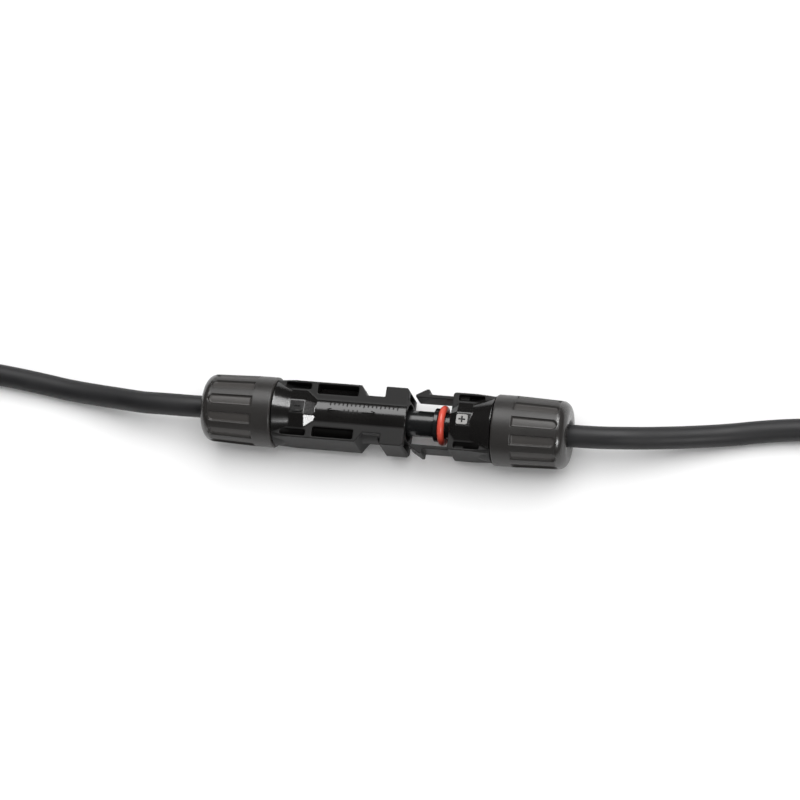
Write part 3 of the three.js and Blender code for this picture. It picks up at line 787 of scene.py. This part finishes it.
def make_socket_housing():
    face = SOCKET_FACE
    neck_rear = RIM_X - CONE_LENGTH - 1
    neck_front = neck_rear - NECK_LENGTH
    half = [(RIM_X + 0.1, PLATE_Y)]
    for angle in (0, 0.5, 1.05, 1.57):
        half.append((face + 0.8 * (1 - math.sin(angle)), PLATE_Y - 0.8 * (1 - math.cos(angle))))
    outline = half + [(x, -y) for x, y in reversed(half)]
    plate = common(prism(outline, -PLATE_Z, PLATE_Z), rim_limit(1, face - 1))
    arm_end, arm_low, arm_high = ARM_POCKET
    deep = (arm_end + 0.5, *SOCKET_POCKET[1:])
    plate = cut(plate, *pocket_tools(*SOCKET_POCKET, web=3.9), *pocket_tools(*deep))
    cone = lathe([(neck_rear - 0.05, 0), (neck_rear, NECK_R), (RIM_X, RIM_R), (RIM_X, 0)])
    neck = faceted([
        (face, 0), (face, TUBE_R), (neck_front, NECK_R),
        (neck_rear + 0.3, NECK_R), (neck_rear + 0.3, 0),
    ])
    body = join(plate, cone, neck, gland_neck(1))
    arm_pockets = latch_channels(face - 1, arm_end, arm_low, arm_high)
    gland_end = RIM_X + GLAND_LENGTH
    bores = [  # for the contact, its clip and the cable's seal
        plain_bar(face - 1, gland_end, SOCKET_CONTACT_BORE_R),
        plain_bar(face + 1.1, gland_end + 1, CLIP_BORE_R),
        plain_bar(gland_end - GLAND_BORE_LENGTH, gland_end + 1, GLAND_BORE_R),
    ]
    body = cut(body, *bores, *arm_pockets)
    soften(body, voxel=0.14, rounds=3)
    finish_piece(body, "socket_shell", "socket_half", HOUSING, ["socket_housing"])
    upper, lower = neck_pads((neck_front + neck_rear) / 2 - 0.2, 1)
    finish_piece(join(upper, lower), "socket_pads", "socket_half", PAD)


def make_nose():
    """The glossy tube that plugs into the pin half, with the flange that holds the O-ring."""
    tip, root = NOSE_TIP, SOCKET_FACE + 0.6
    front, back = FLANGE_X
    bore = SOCKET_CONTACT_BORE_R
    outside = [
        (tip, bore), (tip, bore + 0.2), (tip + 0.15, bore + 0.4),
        (tip + 0.5, NOSE_R - 0.05), (tip + 0.9, NOSE_R),
        (front - 0.15, NOSE_R), (front - 0.05, NOSE_R + 0.1), (front, FLANGE_R - 0.15),
        (front + 0.15, FLANGE_R), (back - 0.15, FLANGE_R), (back, FLANGE_R - 0.15),
        (back, NOSE_R + 0.05), (back + 0.1, NOSE_R), (root, NOSE_R), (root, bore),
    ]
    nose = lathe(outside)
    return finish_piece(nose, "socket_nose", "socket_half", NOSE)


def make_o_ring():
    """The red ring that sits on the nose, behind its flange."""
    half_width, steps = 0.92, 24
    half_height = (RING_OUTER_R - NOSE_R - 0.05) / 2
    middle = RING_OUTER_R - half_height
    profile = []
    for i in range(steps):
        angle = 2 * math.pi * i / steps
        profile.append((RING_X + half_width * math.cos(angle), middle + half_height * math.sin(angle)))
    return finish_piece(lathe(profile), "o_ring", "socket_half", RING, ["socket_o_ring"])


def make_arm(name, side):
    """A latch arm: a thin blade with a barb, rounded at its tip and at its root."""
    heel = ARM_TIP + BARB_LENGTH
    outer = ARM_INNER_Y + ARM_THICKNESS
    outline = [
        (ARM_ROOT, ARM_INNER_Y + 0.05), (ARM_TIP + 0.3, ARM_INNER_Y), (ARM_TIP, ARM_INNER_Y + 0.2),
        (ARM_TIP, outer - 0.4), (ARM_TIP + 0.1, outer - 0.25), (heel - 0.7, BARB_Y), (heel - 0.15, BARB_Y),
        (heel, BARB_Y - 0.15), (heel, outer), (ARM_ROOT, outer),
    ]
    plan = [(x, side * y) for x, y in outline]
    arm = prism(plan, -ARM_HALF_HEIGHT, ARM_HALF_HEIGHT)
    soften(arm, voxel=0.1, rounds=3)
    return finish_piece(arm, name + "_latch", "latch_" + name, HOUSING, ["latch_arm_" + name])


# ---- Lead ends and ties ----

CORE_R = 2.1


def strand_bundle(start, direction, y):
    """Six strands twisted round a middle one, standing for the cable's many fine ones."""
    parts = []
    length, strand_r, lay_r, twist = 7.7, 0.46, 0.86, 1.6
    steps, sides = 24, 10
    for k in range(7):
        points, faces = [], []
        off_middle = 0.0 if k == 0 else lay_r
        for i in range(steps + 1):
            share = i / steps
            angle = k * math.pi / 3 + share * twist
            cx = start + direction * share * length
            cy = y + off_middle * math.cos(angle)
            cz = off_middle * math.sin(angle)
            for j in range(sides):
                around = 2 * math.pi * j / sides
                points.append((cx, cy + strand_r * math.cos(around), cz + strand_r * math.sin(around)))
        for i in range(steps):
            here, there = i * sides, (i + 1) * sides
            for j in range(sides):
                after = (j + 1) % sides
                faces.append((here + j, here + after, there + after, there + j))
        faces.append(tuple(range(sides)))
        faces.append(tuple(range(steps * sides, (steps + 1) * sides)))
        parts.append(mesh_object("strand", points, faces))
    return join(*parts)


def make_lead_end(name, direction):
    """The stripped end beside the hank's mouth: inner insulation, then strands, both over the CAD's own."""
    low, high = (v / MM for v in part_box(name + "_lead_core_end"))
    y = (low.y + high.y) / 2
    stop = low.x if direction > 0 else high.x
    core = plain_bar(low.x, high.x, CORE_R, 48)
    core.data.transform(Matrix.Translation((0, y, CORD_R)))
    soften(core, voxel=0.12, rounds=2)
    strands = strand_bundle(stop, -direction, y)
    strands.data.transform(Matrix.Translation((0, 0, CORD_R)))
    ends = ((core, "core_end", CORE, "core"), (strands, "strand_end", TINNED, "tinned"))
    for piece, end, material, slot in ends:
        stands_for = [f"{name}_lead_{end}"]
        finish_piece(piece, f"{name}_{end}", name + "_half", material, stands_for, lift=False)
    return [core, strands]


def make_tie(name):
    """A nylon cable tie round the hank's two runs: a strap, its head and a cut-off tail."""
    low, high = (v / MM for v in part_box(name + "_lead_tie"))
    x = (low.x + high.x) / 2
    y = (low.y + high.y) / 2
    half_y = (high.y - low.y) / 2
    half_x, strap_top, thickness = 1.8, 7.8, 0.8

    def ring(grow, half_width):
        outline = rounded(-half_y + grow, half_y - grow, grow, strap_top - grow, 3.0 - grow, 8)
        body = prism(outline, -half_width, half_width)
        body.data.transform(Matrix(((0, 0, 1, x), (1, 0, 0, y), (0, 1, 0, 0), (0, 0, 0, 1))))
        return body

    strap = cut(ring(0.0, half_x), ring(thickness, half_x + 1.2))
    head = box(x - 2.3, x + 2.3, y - 2.3, y + 2.3, strap_top - 0.75, high.z)
    slot = box(x - 1.4, x + 1.4, y - 0.9, y + 0.9, high.z - 0.8, high.z + 1)
    tail = box(x - 1.5, x + 1.5, y - 0.3, y + 0.5, high.z - 1.0, high.z + 0.9)
    tie = join(cut(join(strap, head), slot), tail)
    soften(tie, voxel=0.12, rounds=2)
    return finish_piece(tie, name + "_tie", name + "_half", TIE, [name + "_lead_tie"], lift=False)


# ---- What stays from the CAD ----


def dress_cad_nodes():
    """The inner pieces keep their CAD shape and get their real materials."""
    finishes = {
        TINNED: ["pin_contact", "socket_contact", "pin_conductor", "socket_conductor"],
        SPRING: ["pin_contact_clip", "socket_contact_clip", "socket_contact_sleeve"],
        CAGE: ["pin_clamp_cage", "socket_clamp_cage"],
        SEAL: ["pin_cable_seal", "socket_cable_seal"],
    }
    for material, names in finishes.items():
        for name in names:
            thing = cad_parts[name]
            thing.data.materials.clear()
            thing.data.materials.append(material)
            bevel = thing.modifiers.new("edges", "BEVEL")
            bevel.width = 0.05 * MM
            bevel.segments = 2
            bevel.limit_method = "ANGLE"
            bevel.angle_limit = math.radians(40)


# ---- Floor and light ----

FLOOR_REACH = 6.0
WORLD_STRENGTH = 0.55
LAMP_HEIGHT = {"gloss": 0.9, "floor": 1.3}
LAMPS = (  # name, X and Y ranges as shares of the height, radiance, the kind of surface that it lights
    ("overhead", (-0.4, 1.0), (-0.14, 1.22), 2.6, "floor"),
    ("back_band", (-0.62, 0.1), (0.35, 1.5), 5.8, "gloss"),
    ("right_top", (0.2, 0.38), (0.2, 1.0), 16.0, "gloss"),
    ("front_right", (0.62, 0.87), (-1.25, -0.75), 38.0, "gloss"),
)


def make_floor():
    reach = FLOOR_REACH
    corners = [(-reach, -reach, 0), (reach, -reach, 0), (reach, reach, 0), (-reach, reach, 0)]
    floor = mesh_object("floor", corners, [(0, 1, 2, 3)])
    material, tree, shader = node_material("floor_white")
    slow = noise(tree, object_place(tree), 3.0)
    tree.links.new(mixed(tree, slow, (0.92, 0.92, 0.92), (0.94, 0.94, 0.94)), shader.inputs["Base Color"])
    shader.inputs["Roughness"].default_value = 0.9
    shader.inputs["Specular IOR Level"].default_value = 0.1
    floor.data.materials.append(material)


def softbox(name, across, along, radiance, lights):
    """A level rectangular lamp over the connector, facing down."""
    height = LAMP_HEIGHT[lights]
    data = bpy.data.lights.new(name, "AREA")
    data.shape = "RECTANGLE"
    data.size = (across[1] - across[0]) * height
    data.size_y = (along[1] - along[0]) * height
    data.energy = radiance * math.pi * data.size * data.size_y
    lamp = bpy.data.objects.new(name, data)
    bpy.context.scene.collection.objects.link(lamp)
    middle = Vector((sum(across) / 2, sum(along) / 2, 1.0))
    lamp.location = CONNECTOR_MIDDLE + middle * height
    lamp.visible_diffuse = lights == "floor"
    lamp.visible_glossy = lights == "gloss"


def make_lights():
    for lamp in LAMPS:
        softbox(*lamp)
    world = bpy.data.worlds.new("studio")
    bpy.context.scene.world = world
    world.use_nodes = True
    background = world.node_tree.nodes["Background"]
    background.inputs["Color"].default_value = (1, 1, 1, 1)
    background.inputs["Strength"].default_value = WORLD_STRENGTH
    world.cycles_visibility.glossy = False
    bpy.context.scene.view_settings.view_transform = "Standard"


# ---- Build ----

for half, route, direction in (("pin", PIN_LEAD, -1), ("socket", SOCKET_LEAD, 1)):
    on_lead = [*make_lead_end(half, direction), make_tie(half)]
    make_lead(half, half + "_half", route, direction)
    make_nut(half, direction)
make_pin_housing()
make_socket_housing()
make_nose()
make_o_ring()
make_arm("far", 1)
make_arm("near", -1)
dress_cad_nodes()
make_floor()
make_lights()
